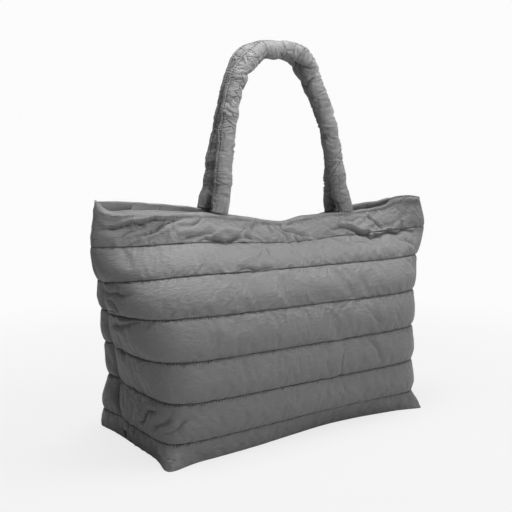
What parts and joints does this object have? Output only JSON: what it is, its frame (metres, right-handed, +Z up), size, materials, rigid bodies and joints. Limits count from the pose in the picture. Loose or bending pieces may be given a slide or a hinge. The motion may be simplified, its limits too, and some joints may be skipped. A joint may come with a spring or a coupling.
{
  "type": "quilted puffer tote bag",
  "caption": "Large soft tote bag with horizontally quilted padded walls, a flat base, an open top and two padded tube handles.",
  "frame": {"origin": "on the floor under the middle of the whole bag", "axes": "+Z up, +X along the bag's length to its right end, the front looks along -Y"},
  "size_m": [0.6206, 0.2456, 0.597],
  "materials": {
    "shell_nylon": "crinkled matt nylon with a faint sheen",
    "handle_nylon": "the shell's nylon gathered over a padded tube",
    "facing_nylon": "smooth matt nylon"
  },
  "bodies": {
    "root": {"front_panel": "shell_nylon", "back_panel": "shell_nylon", "base_panel": "shell_nylon", "front_handle": "handle_nylon", "back_handle": "handle_nylon", "front_facing": "facing_nylon", "back_facing": "facing_nylon"}
  },
  "joints": []
}
